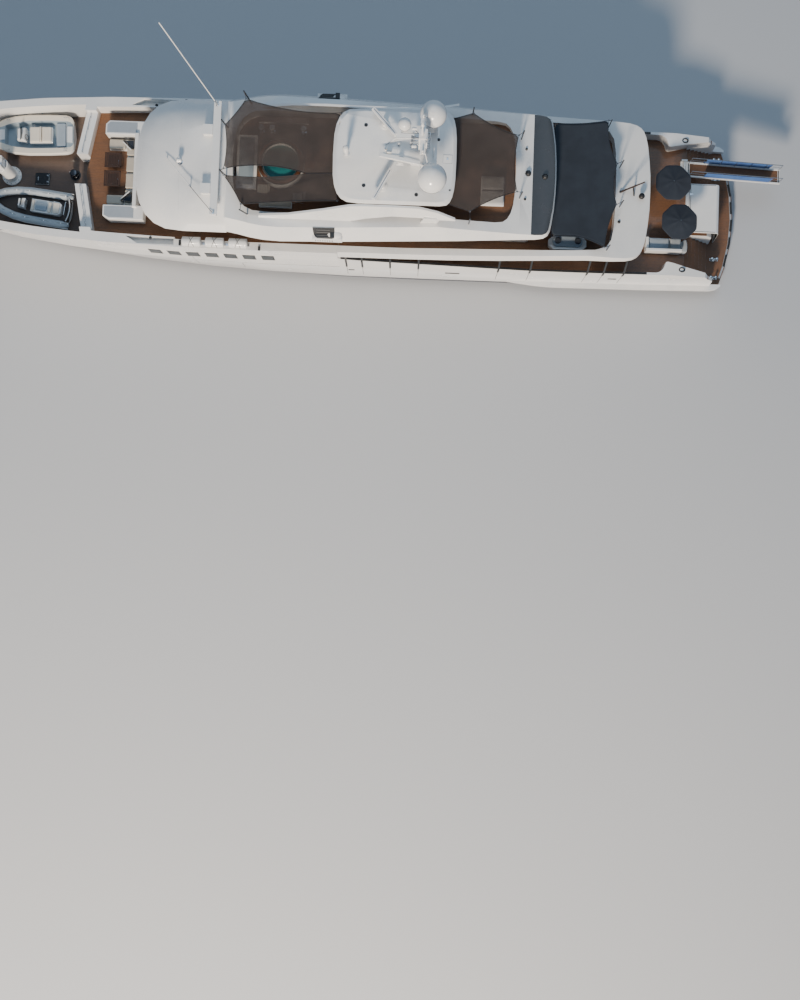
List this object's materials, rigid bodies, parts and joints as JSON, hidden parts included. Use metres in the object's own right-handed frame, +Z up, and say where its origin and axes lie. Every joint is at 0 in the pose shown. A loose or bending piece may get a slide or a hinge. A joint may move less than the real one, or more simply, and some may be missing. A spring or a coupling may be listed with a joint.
{
  "type": "motor yacht, 1:2 scale model",
  "caption": "Three-deck motor yacht with hull, houses, sundeck, hardtop, mast, domes, awnings, tenders, crane, doors, propellers, rudders and gangway.",
  "frame": {"origin": "on the waterline, amidships, on the centre line", "axes": "+X towards the bow, +Y to port, +Z up"},
  "size_m": [29.3051, 5.0466, 9.7552],
  "materials": {
    "hull_paint": "gloss white hull paint",
    "white_paint": "satin to gloss white superstructure paint",
    "bronze": "cast bronze, dull",
    "glass": "dark tinted glass",
    "aerial": "white glass-fibre rod",
    "dome": "white gelcoat",
    "cushion": "light outdoor upholstery",
    "mesh_cloth": "charcoal-brown open mesh",
    "navy_cloth": "dark navy cloth",
    "teak": "teak with dark caulking",
    "tube": "pale blue-grey coated fabric tube",
    "steel": "polished stainless steel",
    "dark_metal": "dark tinted hatch"
  },
  "bodies": {
    "yacht": {"hull": "hull_paint", "anchor_port": "steel", "anchor_starboard": "steel", "bridge_deck": "hull_paint", "bow_deck": "hull_paint", "bow_bulwark": "hull_paint", "main_bulwark_port": "hull_paint", "main_bulwark_starboard": "hull_paint", "main_house_walls": "white_paint", "main_house_glass": "glass", "upper_deck": "white_paint", "upper_house_walls": "white_paint", "wheelhouse_walls": "white_paint", "upper_house_glass": "glass", "sundeck": "white_paint", "wheelhouse_roof": "white_paint", "whip_aerial": "aerial", "hardtop": "white_paint", "hardtop_arm_port": "white_paint", "hardtop_arm_starboard": "white_paint", "mast": "white_paint", "radome_port": "dome", "radome_starboard": "dome", "radome_small": "dome", "jacuzzi_tub": "dome", "sundeck_sunpad": "cushion", "awning_forward": "mesh_cloth", "awning_aft": "mesh_cloth", "awning_upper": "navy_cloth", "upper_sofa": "cushion", "aft_sofa": "cushion", "parasol_starboard": "navy_cloth", "parasol_port": "navy_cloth", "bridge_coaming": "white_paint", "bridge_cushions": "cushion", "bridge_tables": "teak", "crane_pedestal": "white_paint", "jet_tender": "dome", "inflatable_tender": "tube", "life_rafts_port": "dome"},
    "propeller_port": {"propeller_port": "bronze"},
    "propeller_starboard": {"propeller_starboard": "bronze"},
    "rudder_port": {"rudder_port": "hull_paint"},
    "rudder_starboard": {"rudder_starboard": "hull_paint"},
    "salon_door_port": {"salon_door_port": "glass"},
    "salon_door_starboard": {"salon_door_starboard": "glass"},
    "upper_door_port": {"upper_door_port": "glass"},
    "upper_door_starboard": {"upper_door_starboard": "glass"},
    "wing_door_port": {"wing_door_port": "white_paint"},
    "wing_door_starboard": {"wing_door_starboard": "white_paint"},
    "radar_port": {"radar_port": "dome"},
    "radar_starboard": {"radar_starboard": "dome"},
    "radar_mast": {"radar_mast": "dome"},
    "crane_turret": {"crane_turret": "white_paint"},
    "crane_boom": {"crane_boom": "white_paint"},
    "foredeck_hatch": {"foredeck_hatch": "dark_metal"},
    "capstan": {"capstan": "steel"},
    "transom_door": {"transom_door": "white_paint"},
    "passerelle": {"passerelle": "white_paint"}
  },
  "joints": [
    {"name": "propeller_port_spin", "type": "hinge", "parent": "yacht", "child": "propeller_port", "pos_m": [-11.225, 1.1, -0.85], "axis": [1, 0, 0], "continuous": true},
    {"name": "propeller_starboard_spin", "type": "hinge", "parent": "yacht", "child": "propeller_starboard", "pos_m": [-11.225, -1.1, -0.85], "axis": [1, 0, 0], "continuous": true},
    {"name": "rudder_port_turn", "type": "hinge", "parent": "yacht", "child": "rudder_port", "pos_m": [-12.05, 1.1, -0.5], "axis": [0, 0, 1], "range_deg": [-35, 35]},
    {"name": "rudder_starboard_turn", "type": "hinge", "parent": "yacht", "child": "rudder_starboard", "pos_m": [-12.05, -1.1, -0.5], "axis": [0, 0, 1], "range_deg": [-35, 35]},
    {"name": "salon_door_port_slide", "type": "slide", "parent": "yacht", "child": "salon_door_port", "axis": [0, 1, 0], "range_m": [0, 0.55]},
    {"name": "salon_door_starboard_slide", "type": "slide", "parent": "yacht", "child": "salon_door_starboard", "axis": [0, -1, 0], "range_m": [0, 0.55]},
    {"name": "upper_door_port_slide", "type": "slide", "parent": "yacht", "child": "upper_door_port", "axis": [0, 1, 0], "range_m": [0, 0.55]},
    {"name": "upper_door_starboard_slide", "type": "slide", "parent": "yacht", "child": "upper_door_starboard", "axis": [0, -1, 0], "range_m": [0, 0.55]},
    {"name": "wing_door_port_slide", "type": "slide", "parent": "yacht", "child": "wing_door_port", "axis": [-1, 0, 0], "range_m": [0, 0.45]},
    {"name": "wing_door_starboard_slide", "type": "slide", "parent": "yacht", "child": "wing_door_starboard", "axis": [-1, 0, 0], "range_m": [0, 0.45]},
    {"name": "radar_port_spin", "type": "hinge", "parent": "yacht", "child": "radar_port", "pos_m": [-2.3, 0.925, 5.4], "axis": [0, 0, 1], "continuous": true},
    {"name": "radar_starboard_spin", "type": "hinge", "parent": "yacht", "child": "radar_starboard", "pos_m": [-2.3, -0.925, 5.4], "axis": [0, 0, 1], "continuous": true},
    {"name": "radar_mast_spin", "type": "hinge", "parent": "yacht", "child": "radar_mast", "pos_m": [-2.8, 0.475, 6.26], "axis": [0, 0, 1], "continuous": true},
    {"name": "crane_slew", "type": "hinge", "parent": "yacht", "child": "crane_turret", "pos_m": [9.65, 0.025, 3.1], "axis": [0, 0, 1], "range_deg": [-150, 150]},
    {"name": "crane_luff", "type": "hinge", "parent": "crane_turret", "child": "crane_boom", "pos_m": [9.65, 0.025, 3.5], "axis": [0, -1, 0], "range_deg": [0, 70]},
    {"name": "foredeck_hatch_lift", "type": "hinge", "parent": "yacht", "child": "foredeck_hatch", "pos_m": [8.88, 0.0875, 2.235], "axis": [0, 1, 0], "range_deg": [0, 80]},
    {"name": "capstan_spin", "type": "hinge", "parent": "yacht", "child": "capstan", "pos_m": [7.625, -0.075, 2.3], "axis": [0, 0, 1], "continuous": true},
    {"name": "transom_door_lift", "type": "hinge", "parent": "yacht", "child": "transom_door", "pos_m": [-12.215, 0, 1.43], "axis": [0, 1, 0], "range_deg": [0, 70]},
    {"name": "passerelle_lift", "type": "hinge", "parent": "yacht", "child": "passerelle", "pos_m": [-12.05, -1.275, 1.46], "axis": [0, 1, 0], "range_deg": [-4, 60]}
  ],
  "couplings": [
    {"joint": "rudder_starboard_turn", "follows": "rudder_port_turn", "ratio": 1}
  ]
}
